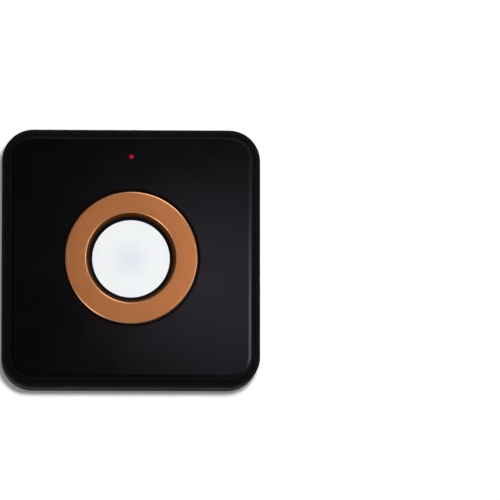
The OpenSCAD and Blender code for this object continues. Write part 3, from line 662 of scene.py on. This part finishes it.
turns = np.linspace(0, (BORE_LONG - PITCH * (2 * END_ROOM)) / PITCH, 420)
fade = np.clip(np.minimum(turns, turns[-1] - turns) * GROWTH, LEAST_RIDGE, 1)[:, None]
wedge = np.array([[0.08, -0.46], [-1, -0.08], [-1, 0.08], [0.08, 0.46], [0.08, -0.46]])
wedge_out, wedge_up = wedge[None, :, 0], wedge[None, :, 1]
wedge_out = np.where(wedge_out < 0, wedge_out * (BORE_R - CREST_R), wedge_out)
ridge_r = BORE_R + wedge_out * fade
ridge_z = INSERT_MOUTH + PITCH * (END_ROOM + turns)[:, None] + wedge_up * PITCH * fade
angle = 2 * np.pi * turns[:, None]
ridge = np.stack([ridge_r * np.cos(angle), ridge_r * np.sin(angle), ridge_z], -1) * MM


def drawn_together(section):
    """A section with all its points at its middle, which closes the end of the ridge."""
    return np.repeat(section[:, :4].mean(1, keepdims=True), 5, axis=1)


ridge = np.concatenate([drawn_together(ridge[:1]), ridge, drawn_together(ridge[-1:])])
thread_piece = surface("tripod_thread", [ridge])
finish_piece(thread_piece, "case", "insert_brass")

# %% [markdown]
# Floor and backdrop
#
# The photograph has a white ground with a short soft shadow. A flat sheet would show its far edge from
# low angles, so the floor is a wide shallow bowl: a disc that curves up into a round wall. It lies a
# hair below the feet, because two faces in one plane flicker.

# %% Floor bowl
FLAT_R, RIM_R, RIM_H = 2.0, 3.0, 1.7
UNDER_FEET, ALMOST_UPRIGHT = 0.02 * MM, 0.999

reach_out = np.concatenate([np.linspace(0, FLAT_R, 8), np.linspace(FLAT_R, RIM_R, 40)[1:]])[:, None]
climb = np.clip((reach_out - FLAT_R) / (RIM_R - FLAT_R), 0, 1)
floor_height = RIM_H * (1 - np.sqrt(1 - climb ** 2 * ALMOST_UPRIGHT)) - UNDER_FEET
t = np.linspace(0, 2 * np.pi, 129)
bowl = np.stack([reach_out * np.cos(t), reach_out * np.sin(t), floor_height + 0 * t], -1)
floor = surface("floor_bowl", [bowl], smooth_under=60)
print(floor.name, len(floor.data.polygons), "faces")

# %% [markdown]
# White ground, dark room
#
# Lamps strong enough to turn the ground pure white would wash out the meter. So the paint adds a
# little white of its own, but only for rays from the camera, mirror rays and rays through glass. The
# shadow still shows, and no more light falls on the meter. The room round it stays dim, because the
# black face mirrors it.

# %% Floor paint and room
ADDED_WHITE, ROOM_LEVEL = 0.2, 0.05

floor_paint = bpy.data.materials.new("floor_paint")
floor_paint.use_nodes = True
tree = floor_paint.node_tree
shader = tree.nodes["Principled BSDF"]
for title, value in (("Base Color", (0.85, 0.85, 0.85)), ("Roughness", 0.9),
                     ("Specular IOR Level", 0.0), ("Emission Color", (1, 1, 1))):
    feed(tree, shader.inputs[title], value)
rays = tree.nodes.new("ShaderNodeLightPath").outputs
seen = maths(tree, "MAXIMUM", rays["Is Camera Ray"], rays["Is Glossy Ray"])
seen = maths(tree, "MAXIMUM", seen, rays["Is Transmission Ray"])
wire(tree, shader, Emission_Strength=maths(tree, "MULTIPLY", seen, ADDED_WHITE))
floor.data.materials.append(floor_paint)

world = bpy.data.worlds.new("dim_room")
bpy.context.scene.world = world
world.use_nodes = True
room = world.node_tree.nodes["Background"].inputs
room["Color"].default_value = (1, 1, 1, 1)
room["Strength"].default_value = ROOM_LEVEL
print("room at %.2f of white" % ROOM_LEVEL)

# %% [markdown]
# Lamps
#
# Two kinds of lamp share the work, and no lamp shows to the camera. A small panel high overhead lights
# only matt surfaces: the ground, the disc and the short shadow at the near edge. The rest show only in
# glossy surfaces, which is how a studio draws light on black. One above the face fades across it, a
# strong small one on the right draws the line along that edge, and three at the sides give the ring
# its bright arcs. One set of lamps for both would do with fewer, but then each change to the shadow
# would change the face.

# %% A lamp that faces a point
def soft_box(name, place, aim, size, radiance, seen_by):
    """A rectangular lamp of so much radiance. Blender wants watts: radiance times pi times area.
    It lights matt surfaces or shows in glossy ones."""
    data = bpy.data.lights.new(name, "AREA")
    data.shape, data.size, data.size_y = "RECTANGLE", size[0], size[1]
    data.energy = radiance * math.pi * size[0] * size[1]
    lamp = bpy.data.objects.new(name, data)
    lamp.visible_diffuse, lamp.visible_glossy = seen_by == "matt", seen_by == "glossy"
    lamp.visible_camera = False
    bpy.context.scene.collection.objects.link(lamp)
    toward = np.array(place, float) - np.array(aim, float)
    toward /= np.linalg.norm(toward)
    side = np.cross([0, 1, 0], toward)
    side /= np.linalg.norm(side)
    top = np.cross(toward, side)
    matrix = np.eye(4)
    matrix[:3, 0], matrix[:3, 1], matrix[:3, 2], matrix[:3, 3] = side, top, toward, place
    lamp.matrix_world = Matrix(matrix.tolist())
    print(name, "%.2f W" % data.energy)

# %% The six lamps
ground, face = (0.0, 0.0, 0.0), (0.0, 0.0, 0.02)

soft_box("sky_panel", (0.04, 0.034, 1.0), ground, (0.08, 0.08), 465.0, "matt")
soft_box("face_panel", (0.0205, 0.0025, 0.120), face, (0.036, 0.042), 2.75, "glossy")
soft_box("key_strip", (0.088, -0.008, 0.150), face, (0.03, 0.04), 32.0, "glossy")
soft_box("side_right", (0.75, -0.1, 0.55), face, (0.6, 0.5), 1.2, "glossy")
soft_box("fill_upper_right", (0.33, 0.69, 0.5), face, (0.62, 0.4), 7.0, "glossy")
soft_box("fill_lower_left", (-0.5, -0.58, 0.42), face, (0.5, 0.4), 4.3, "glossy")
